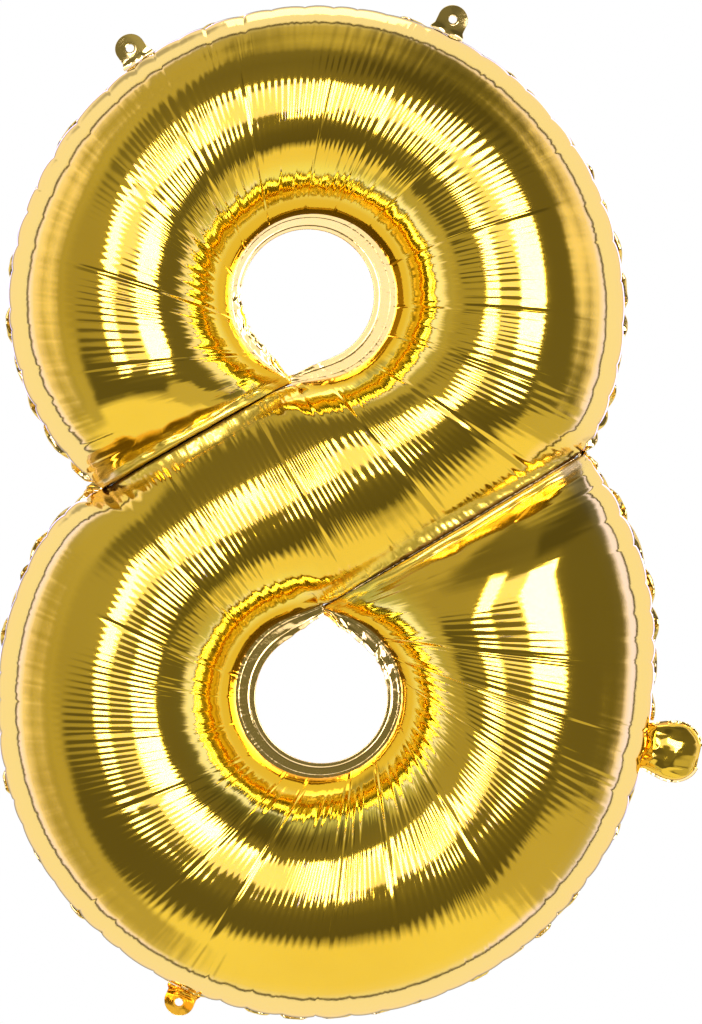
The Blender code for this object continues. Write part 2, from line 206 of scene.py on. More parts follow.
# Lattice noise from 0 to 1 at (x, y), smooth between lattice points
def softNoise(seed, x, y):
    lattice = np.random.default_rng(seed).random((int(np.max(x)) + 3, int(np.max(y)) + 3))
    ix, iy = np.floor(x).astype(int), np.floor(y).astype(int)
    fx, fy = x - ix, y - iy
    fx, fy = fx * fx * (3 - 2 * fx), fy * fy * (3 - 2 * fy)
    low = lattice[ix, iy] * (1 - fx) + lattice[ix + 1, iy] * fx
    high = lattice[ix, iy + 1] * (1 - fx) + lattice[ix + 1, iy + 1] * fx
    return low * (1 - fy) + high * fy


# Sharp folds from smooth noise: 1 along the ridges, 0 in between
def foldNoise(seed, x, y, sharp=1.0):
    return (1 - np.abs(2 * softNoise(seed, x, y) - 1)) ** sharp


# Irregular cells along a line: where in its cell each place is (0 to 1), and a random value for each cell
def cells(seed, gone, pitch, spread):
    rng = np.random.default_rng(seed)
    varied = 2 * rng.random(int(gone[-1] / pitch * 1.6) + 8) - 1
    edges = np.cumsum(pitch * (1 + spread * varied)) - 2 * pitch
    cell = np.searchsorted(edges, gone, "right") - 1
    return (gone - edges[cell]) / (edges[cell + 1] - edges[cell]), rng.random(len(edges))[cell]


wrinkles = {
    "columns": 2250,
    "rows": 44,
    "depthShare": 0.95,
    "halfDepth": 0.090,
    "endRise": 0.075,
    "overhang": 0.0088,      # how far the film bulges past the outer weld
    "overhangTurn": 0.85,
    "holeFoot": 0.0040,       # how far its foot leans away from a hole's weld
    "holeFootTurn": 1.2,
    "scallopPitch": 0.027,   # puckers along the outer weld
    "scallopDepth": 0.0040,
    "toothPitch": 0.0052,    # small folds between them
    "toothDepth": 0.00016,
    "rollRadius": 0.0056,    # the narrow roll on each side of a slit, in blocks
    "rollPitch": 0.0200,
    "rollBase": 0.055,       # how high the two sides of a slit press against each other
    "sideTouch": 0.0001,     # how near the slit's middle line the tube's side comes, and its closed end
    "endTouch": 0.0009,
    "shoulder": 0.0155,      # how much fuller the tube is beside the roll
    "shoulderReach": 0.014,
    "ribPitch": 0.0030,
    "ribDepth": 0.00042,
    "rollTurn": 144,         # degrees that it curls through
    "rollReach": 0.50,       # the tube's angle where it ends in a crease
    "rollWall": 0.52,
    "creasePitch": 0.058,    # long creases across the tube
    "creaseDepth": 0.00055,
    "creaseWidth": 0.0013,
    "facetBulge": 0.00060,
    "holePitch": 0.0100,     # fine wrinkles by a hole, measured on the tube's middle line
    "holeDepth": 0.00046,
    "ripplePitch": 0.0050,   # regular ripples over the crest
    "rippleDepth": 0.00015,
    "driftPitch": 0.030,     # how often the ripples crowd, strengthen and calm down
    "gustPitch": 0.045,
    "calmPitch": 0.085,
    "crumplePitch": 0.012,
    "crumpleDepth": 0.0019,
}


# How far places are from a slit at the tube's end, and how far along it
def endDistance(flat, slit, gone):
    along = (slit[1] - slit[0]) / np.hypot(*(slit[1] - slit[0]))
    off = flat - slit[0]
    across = np.abs(off[..., 0] * along[1] - off[..., 1] * along[0])
    away = smoothStep(0.10, 0.20, gone)[:, None]
    return across * (1 - away) + 1.0 * away, np.maximum(off @ along, 0)


# The size of the roll's blocks along a slit, from 0 to 1
def rollBlocks(seed, goneAt):
    place, size = cells(seed, np.sort(goneAt.ravel()), wrinkles["rollPitch"], 0.4)
    blocks = (0.50 + 0.50 * np.abs(np.sin(np.pi * place)) ** 0.5) * (0.80 + 0.20 * size)
    return np.interp(goneAt, np.sort(goneAt.ravel()), blocks)


# The tube's rise from its closed end, starting with the roll
def riseAt(distance, along, seed):
    w = wrinkles
    left = 1 - np.clip(distance / w["endRise"], 0, 1)
    radius = w["rollRadius"] * rollBlocks(seed, along)
    crease = radius * (1 - math.cos(math.radians(w["rollTurn"])))
    fuller = w["shoulder"] * np.exp(-np.maximum(distance - crease, 0) / w["shoulderReach"]) / w["halfDepth"]
    tube = np.sqrt(1 - left**2) + fuller * (left > 0)
    bend = 1 - np.clip(distance / radius, 0, 2)
    roll = (w["rollBase"] + radius * np.sqrt(np.clip(1 - bend**2, 0, 1))) / w["halfDepth"]
    return np.where(distance < crease, roll * smoothStep(-0.0003, 0.0003, distance), np.minimum(tube, 1.0))


# How high a place on a slit's weld lets the film stand: 1 in the middle, 0 at both ends
def slitArch(points, slit):
    length = np.hypot(*(slit[1] - slit[0]))
    share = (points - slit[0]) @ (slit[1] - slit[0]) / length**2
    return np.sqrt(np.clip(1 - (2 * share - 1) ** 2, 0, 1))


def gridNormals(points):
    du = np.gradient(points, axis=0)
    dv = np.gradient(points, axis=1)
    normal = np.cross(du, dv)
    return normal / np.maximum(np.linalg.norm(normal, axis=-1, keepdims=True), 1e-12)


# Where the film runs before it wrinkles, side -1 for the front and 1 for the back
def smoothFilm(ribs, turn, side, seed):
    w = wrinkles
    a, b = ribs["a"], ribs["b"]
    width = np.hypot(*(a - b).T)
    across = (a - b) / width[:, None]
    crest = np.minimum(width / 2 * w["depthShare"], w["halfDepth"])
    crest = smoothAlong(crest[:, None], 40)[:, 0]
    x = (width / 2)[:, None] * np.cos(turn)
    high = np.broadcast_to(np.sin(turn), x.shape).copy()
    for kind, goneAt, angle, sign, arch in (
            (ribs["aKind"], ribs["aGone"], turn, 1, slitArch(a, lowerSlit)),
            (ribs["bKind"], ribs["bGone"], math.pi - turn, -1, slitArch(b, upperSlit))):
        bulge = kind[:, :1] * w["overhang"] * np.sin(np.pi * np.clip(angle / w["overhangTurn"], 0, 1))
        foot = w["holeFoot"] * np.sin(np.pi * np.clip(angle / w["holeFootTurn"], 0, 1))
        bulge = bulge - kind[:, 1:2] * foot
        radius = (w["rollRadius"] * rollBlocks(seed + 16 - sign, goneAt))[:, None]
        gone = np.clip(angle / w["rollReach"], 0, 1)
        bend = np.clip((gone - w["rollWall"]) / (1 - w["rollWall"]), 0, 1) * math.radians(w["rollTurn"])
        wall = np.clip(gone / w["rollWall"], 0, 1)
        touch = figure["slitHalfWidth"] - w["sideTouch"]
        touch = touch * smoothStep(0.1, 0.9, wall) * (1 - smoothStep(0.3, 1.6, bend))
        touch = touch * smoothStep(0.35, 0.62, radius / w["rollRadius"])
        rollX = (width / 2)[:, None] - radius * (1 - np.cos(bend)) + touch
        rollHigh = (w["rollBase"] * arch[:, None] * wall + radius * np.sin(bend)) / w["halfDepth"]
        inset = (width / 2)[:, None] * (1 - np.cos(angle))
        edge = w["halfDepth"] * (1 - math.cos(w["rollReach"]))
        fuller = np.exp(-np.maximum(inset - edge, 0) / w["shoulderReach"])
        fuller = fuller * w["shoulder"] / w["halfDepth"] * arch[:, None]
        inRoll = angle < w["rollReach"]
        x = x + sign * (bulge + kind[:, 2:] * inRoll * (rollX - sign * (width / 2)[:, None] * np.cos(turn)))
        high = high + kind[:, 2:] * np.where(inRoll, rollHigh - np.sin(turn), fuller)
    flat = ((a + b) / 2)[:, None, :] + across[:, None, :] * x[..., None]
    for column, slit, sign in ((1, upperSlit, 1), (-2, lowerSlit, -1)):
        off = (flat[column] - slit[0]) @ slitNormal(slit)
        flat[column] -= (off - sign * w["endTouch"])[:, None] * slitNormal(slit)
    upperEnd = riseAt(*endDistance(flat, upperSlit, ribs["gone"]), seed + 17)
    lowerEnd = riseAt(*endDistance(flat, lowerSlit, ribs["gone"][-1] - ribs["gone"]), seed + 18)
    upperEnd[0], lowerEnd[-1] = 0, 0
    lift = figure["weldWall"] / 2 + figure["fitGap"]
    height = lift + crest[:, None] * high * upperEnd * lowerEnd
    return np.stack([flat[..., 0], side * height, flat[..., 1]], -1)


# How far the film moves in (-) or out (+) where it puckers and creases, and marks for the material: where it
# is finely rippled, and where light and shade are painted into its colour: a painted reflection by a hole,
# painted shade by a hole's weld, a painted reflection by the rim, a painted highlight by a slit and painted
# shade in a slit
def wrinkleHeight(ribs, turn, flat, seed):
    w = wrinkles
    gone = ribs["gone"]
    move = np.zeros(flat.shape[:2])
    span = np.broadcast_to(turn / np.pi, move.shape)
    level = 0 * span
    for kind, goneAt, angle, k in (
            (ribs["aKind"], ribs["aGone"], turn, 5), (ribs["bKind"], ribs["bGone"], math.pi - turn, 6)):
        place, size = cells(seed + k, goneAt, w["scallopPitch"], 0.35)
        valley = (1 - np.abs(np.sin(np.pi * place)) ** 0.5) * (0.4 + 0.9 * size)
        reach = np.where(size > 0.72, 0.44, 0.35)[:, None]
        move -= (kind[:, 0] * valley * w["scallopDepth"])[:, None] * np.exp(-(angle / reach) ** 2)
        along = goneAt[:, None]
        tooth = foldNoise(seed + k + 20, along / w["toothPitch"] + level, 0.5 + angle * 1.2 + level, 1.2) - 0.5
        move += kind[:, :1] * tooth * w["toothDepth"] * 2 * np.exp(-((angle - 0.72) / 0.30) ** 2)
        rib = foldNoise(seed + k + 60, along / w["ribPitch"] + level, 0.5 + angle * 4 + level, 1.1) - 0.5
        move += kind[:, 2:] * rib * 2 * w["ribDepth"] * np.exp(-((angle - 0.46) / 0.20) ** 2)
    place, size = cells(seed + 30, gone, w["creasePitch"], 0.45)
    wide = np.minimum(place, 1 - place) * w["creasePitch"]
    middle = smoothAlong((ribs["section"] == 1).astype(float)[:, None], 20)
    byHole = smoothAlong(np.column_stack([ribs["aKind"][:, 1], ribs["bKind"][:, 1]]), 12)
    reach = (1.6 + 0.8 * size)[:, None]
    fadeA, fadeB = (1 - smoothStep(reach - 0.4, reach, angle) for angle in (turn, math.pi - turn))
    loops = byHole[:, :1] * fadeA + byHole[:, 1:] * fadeB
    both = smoothStep(0.3, 0.7, turn) * smoothStep(0.3, 0.7, math.pi - turn)
    fade = loops * (1 - middle) + both * middle
    fromEnd = np.minimum(gone, gone[-1] - gone)[:, None]
    fade = fade * (0.15 + 0.85 * smoothStep(0.035, 0.095, fromEnd))
    crease = 0.75 * np.exp(-wide / w["creaseWidth"]) - 0.45 * np.exp(-((wide - 0.0035) / 0.0014) ** 2)
    move -= (crease * (0.45 + 0.9 * size) * w["creaseDepth"])[:, None] * fade
    move += (np.sin(np.pi * place) * w["facetBulge"] * (0.3 + 0.9 * size))[:, None] * fade
    drift = 1.7 * softNoise(seed + 43, gone / w["driftPitch"], gone * 0)
    gust = softNoise(seed + 42, gone[:, None] / w["gustPitch"] + level, span * 2.5)
    ripple = np.sin(2 * np.pi * (gone / w["ripplePitch"] + drift))[:, None] * (0.25 + 1.1 * gust)
    crest = np.exp(-((span - 0.5 - 0.02 * (1 - middle) * (byHole[:, 1:] - byHole[:, :1])) / 0.20) ** 4)
    calm = 0.4 + 0.6 * smoothStep(0.08, 0.32, softNoise(seed + 44, gone / w["calmPitch"], gone * 0))[:, None]
    calm = calm * smoothStep(0.045, 0.095, fromEnd)
    move += ripple * w["rippleDepth"] * crest * calm
    by = foldNoise(seed + 40, gone[:, None] / w["holePitch"] + 0.8 * span, span * 4.5, 1.1)
    holes = ((byHole[:, :1], turn), (byHole[:, 1:], math.pi - turn))
    near = sum(share * np.exp(-((angle - 0.78) / 0.36) ** 2) for share, angle in holes)
    # weld marks where a darker gold is painted beside a hole's weld: painted shade
    weld = sum(share * (1 - smoothStep(0.36, 0.60, angle)) for share, angle in holes)
    # loop marks where a lighter, yellower gold is painted by a hole: a painted reflection
    loop = sum(share * (1 - smoothStep(0.72, 1.05, angle)) for share, angle in holes)
    move += (by - 0.5) * 2 * w["holeDepth"] * near
    for spot, size in ((upperSlit[0], 0.028), (lowerSlit[0], 0.028), (leftWaist, 0.024), (rightWaist, 0.018)):
        off = flat - spot
        close = np.exp(-(np.hypot(off[..., 0], off[..., 1]) / size) ** 2)
        u, v = (flat[..., 0] + 0.4) / w["crumplePitch"], (flat[..., 1] + 0.6) / w["crumplePitch"]
        rough = foldNoise(seed + 50, u + 0.5 * v, v, 0.9) - 0.5
        move += rough * w["crumpleDepth"] * close
    fine = np.clip(near + 0.8 * crest * calm * (0.3 + 0.7 * gust), 0, 1)
    sides = ((ribs["aKind"], turn), (ribs["bKind"], math.pi - turn))
    # rim marks where a paler gold is painted along the outer weld: a painted reflection of the white backdrop
    rim = sum(kind[:, :1] * (1 - smoothStep(0.66, 0.76, angle)) for kind, angle in sides)
    # roll marks the roll beside a slit, where a lighter gold is painted: a painted highlight; it also sets a
    # satin roughness
    roll = sum(kind[:, 2:] * (1 - smoothStep(0.50, 0.66, angle)) for kind, angle in sides)
    for slit, away in ((upperSlit, gone), (lowerSlit, gone[-1] - gone)):
        distance, along = endDistance(flat, slit, away)
        roll = np.maximum(roll, np.exp(-(distance / 0.013) ** 4))
        rib = foldNoise(seed + 66, along / w["ribPitch"], np.minimum(distance, 0.02) / 0.006, 1.1) - 0.5
        move += rib * 2 * w["ribDepth"] * np.exp(-((distance - 0.006) / 0.006) ** 2)
    # pressed marks where the sides of a slit press together, painted nearly black: painted shade
    pressed = sum(kind[:, 2:] * (1 - smoothStep(0.26, 0.31, angle)) for kind, angle in sides)
    pressed[[0, 1, -2, -1]] = 1
    marks = {"fine": fine, "byHole": loop, "weldShade": weld, "rimReflection": rim, "rollHighlight": roll, "slitShade": pressed}
    marks = {name: np.clip(share, 0, 1) for name, share in marks.items()}
    return move * smoothStep(0.0, 0.10, np.minimum(turn, math.pi - turn)), marks


# A sheet made from a grid, whose points are then placed; uv is the place along and across it
def sheetFromGrid(name, points, uv, outward, close=False, marks=None):
    columns, rows = points.shape[0] - 1, points.shape[1] - 1
    bm = bmesh.new()
    bmesh.ops.create_grid(bm, x_segments=columns, y_segments=rows, size=1)
    mesh = bpy.data.meshes.new(name)
    bm.to_mesh(mesh)
    bm.free()
    co = np.empty(len(mesh.vertices) * 3)
    mesh.vertices.foreach_get("co", co)
    co = co.reshape(-1, 3)
    column = np.rint((co[:, 0] + 1) / 2 * columns).astype(int)
    row = np.rint((co[:, 1] + 1) / 2 * rows).astype(int)
    mesh.vertices.foreach_set("co", points[column, row].ravel().astype(np.float32))
    layer = mesh.uv_layers.new(name="lay")
    corner = np.empty(len(mesh.loops), int)
    mesh.loops.foreach_get("vertex_index", corner)
    layer.data.foreach_set("uv", uv[column, row][corner].ravel().astype(np.float32))
    for mark, values in (marks or {}).items():
        attribute = mesh.attributes.new(mark, "FLOAT", "POINT")
        attribute.data.foreach_set("value", values[column, row].astype(np.float32))
    mesh.update()
    normal = np.empty(len(mesh.polygons) * 3)
    mesh.polygons.foreach_get("normal", normal)
    if normal.reshape(-1, 3).sum(axis=0) @ np.array(outward, float) < 0:
        mesh.flip_normals()
    if close:
        bm = bmesh.new()
        bm.from_mesh(mesh)
        bmesh.ops.remove_doubles(bm, verts=bm.verts, dist=1e-6)
        bm.to_mesh(mesh)
        bm.free()
    mesh.shade_smooth()
    obj = bpy.data.objects.new(name, mesh)
    bpy.context.scene.collection.objects.link(obj)
    return obj


def giveWall(obj, thickness, offset=0.0):
    wall = obj.modifiers.new("wall", "SOLIDIFY")
    wall.thickness = thickness
    wall.offset = offset


# How far a closed end of the tube stays from the slit's middle line
def slitOpening(away):
    return figure["slitHalfWidth"] * (1 - 0.9 * smoothStep(0, 0.0008, away))[:, None]


def makeFilm(name, side, seed):
    rows = wrinkles["rows"]
    ribs = tubeRibs(wrinkles["columns"])
    ribs["aGone"], ribs["bGone"] = runLength(ribs["a"]), runLength(ribs["b"])
    ribs["a"] += slitNormal(lowerSlit) * figure["slitHalfWidth"] * ribs["aKind"][:, 2:3]
    ribs["b"] -= slitNormal(upperSlit) * figure["slitHalfWidth"] * ribs["bKind"][:, 2:3]
    startShift = slitOpening(ribs["gone"]) * slitNormal(upperSlit)
    endShift = slitOpening(ribs["gone"][-1] - ribs["gone"]) * slitNormal(lowerSlit)
    for end in ("a", "b"):
        ribs[end] = ribs[end] + startShift - endShift
    t = np.linspace(0, 1, rows + 1)
    turn = np.pi * (0.62 * t + 0.38 * (0.5 - 0.5 * np.cos(np.pi * t)))
    points = smoothFilm(ribs, turn, side, seed)
    normal = gridNormals(points)
    if normal[:, rows // 2, 1].mean() * side < 0:
        normal = -normal
    height, marks = wrinkleHeight(ribs, turn, points[..., [0, 2]], seed)
    points = points + normal * height[..., None]
    points[..., 0] += figureMiddle[0]
    points[..., 2] += figureMiddle[1]
    uv = np.stack(np.broadcast_arrays(ribs["gone"][:, None], (turn * 0.09)[None, :]), -1)
    return sheetFromGrid(name, points, uv, (0, side, 0), marks=marks)


print("films")
frontFilm = makeFilm("frontFilmSkin", -1, 11)
backFilm = makeFilm("backFilmSkin", 1, 71)


# How a piece stands on its fold line: X along the fold, Y outwards, Z to the front
def foldFrame(root, out, fold=0.0):
    axis, flat, front = Vector((out[1], 0, -out[0])), Vector((out[0], 0, out[1])), Vector((0, -1, 0))
    turn = math.radians(fold)
    up = flat * math.cos(turn) + front * math.sin(turn)
    matrix = Matrix((axis, up, axis.cross(up))).transposed().to_4x4()
    matrix.translation = Vector((root[0] + figureMiddle[0], 0, root[1] + figureMiddle[1]))
    return np.array(matrix)


def standOn(matrix, points):
    return points @ matrix[:3, :3].T + matrix[:3, 3]


tabPlaces = {  # the lobe, and the angle on it
    "topLeft": (upperLobe, 124.6),
    "topRight": (upperLobe, 65.4),
    "bottomLeft": (lowerLobe, 244.2),
}

flange = {
    "columns": 3000,
    "rows": 8,
    "under": 0.002,
    "width": 0.0086,
    "leftWeb": 0.020,
    "rightWeb": 0.008,
    "trim": 4,               # degrees beside a waist where the web takes over
    "neckAngle": 351,
    "neckHalfGap": 4.447,    # degrees left free on each side of the neck
    "stations": 1200,
    "wave": 0.0032,
    "wavePitch": 0.030,
    "tabReach": 0.021,       # the flange stays whole on each side of a tab
    "crumple": 0.0011,
    "wall": 0.0002,
}


# Points given by their place in the weld's plane and how far they stand behind it
def placed(flat, high):
    return np.stack([flat[..., 0] + figureMiddle[0], high, flat[..., 1] + figureMiddle[1]], -1)


def unit(vectors):
    return vectors / np.linalg.norm(vectors, axis=-1, keepdims=True)


# The outer weld, clockwise from below the neck to above it: places on it and its outward reach there
def flangeLine():
    f = flange
    webs = (np.array((-f["leftWeb"], 0)), np.array((f["rightWeb"], 0)))
    points, reaches = [], []
    for lobe, first, last in (
            (lowerLobe, f["neckAngle"] - f["neckHalfGap"], lowerLobe["angles"][0]),
            (upperLobe, *upperLobe["angles"][[0, -1]]),
            (lowerLobe, lowerLobe["angles"][-1], f["neckAngle"] + f["neckHalfGap"])):
        angles = np.linspace(first, last, f["stations"])
        reach = onCircle(angles) * f["width"]
        for end, web in zip(lobe["angles"][[0, -1]], webs):
            near = (1 - np.clip(np.abs(angles - end) / f["trim"], 0, 1))[:, None]
            reach = reach * (1 - near) + web * near
        points.append(lobePoint(lobe, angles))
        reaches.append(reach)
    points, reaches = np.concatenate(points), np.concatenate(reaches)
    gone = runLength(points)
    even = np.linspace(0, gone[-1], f["columns"] + 1)
    return resample(points, gone, even), resample(reaches, gone, even), even


def makeFlange():
    f = flange
    line, reach, gone = flangeLine()
    t = np.linspace(0, 1, f["rows"] + 1)
    place, size = cells(91, gone, f["wavePitch"], 0.45)
    sway = np.sin(2 * np.pi * softNoise(92, gone / 0.021, gone * 0) + gone / 0.006)
    peek = np.minimum(0.46 + 0.54 * np.abs(np.sin(np.pi * place)) ** 0.8 * (0.25 + 1.1 * size), 1)
    length = np.linalg.norm(reach, axis=1)
    peek = peek + (0.98 - peek) * smoothStep(0.0105, 0.016, length)
    for lobe, angle in tabPlaces.values():
        away = np.hypot(*(line - lobePoint(lobe, np.array([angle]))).T)
        peek = peek + (0.92 - peek) * np.exp(-(away / f["tabReach"]) ** 4)
    crumple = foldNoise(93, gone[:, None] / 0.0065, t[None, :] * 2.2 + 0.3, 1.2) - 0.5
    across = -f["under"] / length[:, None] * (1 - t) + t * peek[:, None]
    flat = line[:, None, :] + reach[:, None, :] * across[..., None]
    high = (sway[:, None] * f["wave"] + crumple * f["crumple"] * 2) * smoothStep(0.25, 1.0, t) ** 1.3
    points = placed(flat, high)
    uv = np.stack(np.broadcast_arrays(gone[:, None], t[None, :] * 0.009), -1)
    piece = sheetFromGrid("outerFlange", points, uv, (0, -1, 0))
    giveWall(piece, f["wall"])
    return piece


ring = {
    "columns": 720,
    "rows": 30,
    "under": 0.002,
    "width": 0.0145,
    "cornerWidth": 0.005,
    "upperShift": (-0.0045, 0.001),
    "lowerShift": (0.0025, -0.0015),
    "cone": 0.00022,          # how far the cut edge stands off the weld's plane
    "wave": 0.00008,
    "weldLine": 0.00016,
    "ticks": 0.00007,
    "crumple": 0.0015,
    "crumpleReach": 46,      # degrees from the corner
    "wall": 0.0002,
}


# The fused ring in a hole: flat by the film, with a raised weld line, crumpled on the side away from the slit
def makeRing(name, hole, seed, crumpleSide, lean):
    r = ring
    centre, corner = np.array(figure[hole + "Hole"]), figure[hole + "Corner"]
    angles = corner + np.linspace(0, 360, r["columns"] + 1)
    outer = dropPoint(centre, figure["holeRadius"] + r["under"], figure["cornerReach"], corner, angles)
    reach = figure["cornerReach"] + r["width"] - r["cornerWidth"]
    cut = centre + np.array(r[hole + "Shift"])
    inner = dropPoint(cut, figure["holeRadius"] - r["width"], reach, corner, angles)
    t = np.linspace(0, 1, r["rows"] + 1)
    signed = (angles - corner + 180) % 360 - 180
    rough = 1 - smoothStep(8, r["crumpleReach"], np.abs(signed))
    rough = rough * np.where(signed * crumpleSide > 0, 1.0, 0.35)
    rough = np.maximum(rough, 0.55 * np.exp(-((signed * crumpleSide - 55) / 22) ** 2))
    ragged = (softNoise(seed, (angles - corner) / 360 * 90, angles * 0) - 0.5) * 0.30 * rough
    across = t[None, :] * (1 + ragged[:, None] * t[None, :])
    flat = outer[:, None, :] + (inner - outer)[:, None, :] * across[..., None]
    turn = np.radians(angles - corner)
    high = (np.sin(turn * 5 + 1.3 * np.sin(turn * 2 + seed)) * r["wave"])[:, None] * t[None, :] ** 1.5
    cone = lean * r["cone"] * t[None, :] ** 1.3 * (0.75 + 0.25 * np.cos(turn - 2.0))[:, None]
    high = high + cone * (1 - 0.5 * rough[:, None])
    line = np.exp(-((t - 0.74) / 0.030) ** 2) + 0.6 * np.exp(-((t - 0.30) / 0.022) ** 2)
    high = high - line[None, :] * r["weldLine"]
    around, inwards = (angles - corner)[:, None] / 360, np.broadcast_to(t[None, :], (len(angles), len(t)))
    tick = foldNoise(seed + 1, around * 110, inwards * 2.5, 2.5)
    high = high - tick * r["ticks"] * (1 - smoothStep(0.2, 0.7, t))[None, :]
    fold = foldNoise(seed + 2, around * 44 + t[None, :], inwards * 1.8, 1.0) - 0.45
    high = high + fold * r["crumple"] * 2 * rough[:, None] * smoothStep(0.15, 0.7, t)[None, :]
    high[-1], flat[-1] = high[0], flat[0]
    points = placed(flat, high)
    uv = np.stack(np.broadcast_arrays((turn * figure["holeRadius"])[:, None], t[None, :] * r["width"]), -1)
    piece = sheetFromGrid(name, points, uv, (0, -1, 0), close=True)
    giveWall(piece, r["wall"])
    return piece


slitSeam = {
    "columns": 420, "rows": 12, "under": 0.002, "endGap": 0.006, "crimp": 0.00012, "crimpPitch": 0.0035,
    "wall": 0.0002,
}


def makeSlitSeam(name, slit, seed):
    s = slitSeam
    along = unit(slit[1] - slit[0])
    start, end = slit[0] + along * s["endGap"], slit[1] - along * s["endGap"]
    u, t = np.linspace(0, 1, s["columns"] + 1), np.linspace(-1, 1, s["rows"] + 1)
    gone = u * np.hypot(*(end - start))
    half = figure["slitHalfWidth"] + s["under"]
    flat = start + (end - start) * u[:, None, None] + slitNormal(slit) * (t * half)[None, :, None]
    across = np.broadcast_to((t + 1) * 1.5, (len(u), len(t)))
    high = (foldNoise(seed, gone[:, None] / s["crimpPitch"], across, 1.2) - 0.5) * s["crimp"] * 2
    points = placed(flat, high)
    uv = np.stack(np.broadcast_arrays(gone[:, None], (t * half)[None, :]), -1)
    piece = sheetFromGrid(name, points, uv, (0, -1, 0))
    giveWall(piece, s["wall"])
    return piece


tab = {
    "columns": 144,
    "rows": 30,
    "width": 0.026,
    "hole": 0.0036,
    "height": 0.014,
    "flare": 0.0022,         # how much wider the tab gets at its root
    "off": 0.0076,           # the fold line, outside the lobe's weld
    "curl": 0.0012,
    "lean": 0.0078,          # how far the top of the tab leans back
    "crumple": 0.0007,
    "bottomFold": 60,        # degrees that the bottom left tab is folded forwards
    "rim": 0.00008,
    "wall": 0.0002,
}


# A hanging tab: a round-topped tongue with a punched hole, worked outwards from the hole
def makeTab(name, lobe, angle, fold, seed, curl, crumple):
    b = tab
    near = lobePoint(lobe, np.array([angle - 0.5, angle + 0.5]))
    along = unit(near[1] - near[0])
    out = np.array([along[1], -along[0]])
    root = lobePoint(lobe, np.array([angle]))[0] + out * b["off"]
    phi = np.linspace(0, 2 * np.pi, b["columns"] + 1)
    t = np.linspace(0, 1, b["rows"] + 1)
    cos, sin = np.cos(phi), np.sin(phi)
    half, height = b["width"] / 2, b["height"]
    side = half / np.maximum(np.abs(cos), 1e-9)
    bottom = height / np.maximum(-sin, 1e-9)
    reach = np.where(sin >= 0, half, np.minimum(side, np.where(sin < 0, bottom, 1.0)))
    r = b["hole"] + (reach - b["hole"])[:, None] * t
    x, y = r * cos[:, None], height + r * sin[:, None]
    low = 1 - smoothStep(0.001, 0.0065, y)
    x = x * (1 + b["flare"] / half * low)
    rough = foldNoise(seed, (x + 0.03) / 0.010, (y + 0.02) / 0.012, 0.9) - 0.5
    high = curl * b["curl"] * (x / half) ** 2 * smoothStep(0, 0.012, y)
    high = high - b["lean"] * (np.maximum(y, 0) / (2 * height)) ** 1.05
    high = high + rough * 2 * crumple * b["crumple"] * (0.06 + 1.5 * low) * smoothStep(-0.001, 0.004, y)
    high = high + b["rim"] * np.exp(-((r - b["hole"] - 0.0010) / 0.0006) ** 2)
    stand = foldFrame(root, out, fold)
    points = standOn(stand, np.stack([x, y, high], -1))
    points[-1] = points[0]
    uv = np.stack([x, y], -1)
    piece = sheetFromGrid(name, points, uv, stand[:3, 2], close=True)
    giveWall(piece, b["wall"])
    return piece


neck = {
    "direction": -12,
    "rootOut": 0.003,
    "length": 0.0490,
    "columns": 150,
    "rows": 84,
    "rootHalf": 0.0190,
    "half": 0.0245,
    "endHalf": 0.0085,
    "rootDepth": 0.0022,
    "puff": 0.0125,
    "crumple": 0.0013,
    "fold": 0.0007,
    "lip": 0.0022,
    "lipColumns": 160,
    "lipRows": 8,
    "wall": 0.00025,
}


def neckHalf(s):
    k = neck
    grow = k["rootHalf"] + (k["half"] - k["rootHalf"]) * smoothStep(0.0, 0.55, s)
    close = np.sqrt(np.clip(1 - np.clip((s - 0.55) / 0.47, 0, 1) ** 2.3, 0, 1))
    return np.maximum(grow * close, k["endHalf"] * smoothStep(0.8, 1.0, s))


def neckFrame():
    out = onCircle(neck["direction"])
    root = lobePoint(lowerLobe, np.array([flange["neckAngle"]]))[0] + out * neck["rootOut"]
    return foldFrame(root, out)


def makeNeckFilm(name, side, seed):
    k = neck
    s = np.linspace(0, 1, k["columns"] + 1)[:, None]
    phi = np.linspace(0, np.pi, k["rows"] + 1)[None, :]
    x = neckHalf(s) * np.cos(phi)
    y = k["length"] * s * np.ones_like(phi)
    depth = k["rootDepth"] + (k["puff"] - k["rootDepth"]) * np.sin(np.pi * np.clip(s, 0, 1) ** 0.8) ** 0.8
    depth = depth * (1 - smoothStep(0.93, 1.0, s) * 0.92)
    body = np.sin(phi) ** 0.9
    u, v = x + 0.04, y + 0.01
    big = foldNoise(seed, (u + 0.4 * y) / 0.017, v / 0.016 - 0.3 * u / 0.017 + 3, 0.8) - 0.5
    root = 1 - smoothStep(0.15, 0.55, s)
    small = foldNoise(seed + 1, u / 0.0055, v / 0.017 + x / 0.03 + 2, 1.1) - 0.5
    small = small * (0.3 + 1.5 * root)
    high = depth * body + (big * 2 * k["crumple"] + small * 2 * k["fold"]) * smoothStep(0.0, 0.5, np.sin(phi))
    high = np.maximum(high, 0) + figure["weldWall"] / 2 + figure["fitGap"]
    stand = neckFrame()
    points = standOn(stand, np.stack([x, y, -side * high], -1))
    uv = np.stack([y, x], -1)
    piece = sheetFromGrid(name, points, uv, -side * stand[:3, 2])
    giveWall(piece, k["wall"], -1)
    return piece


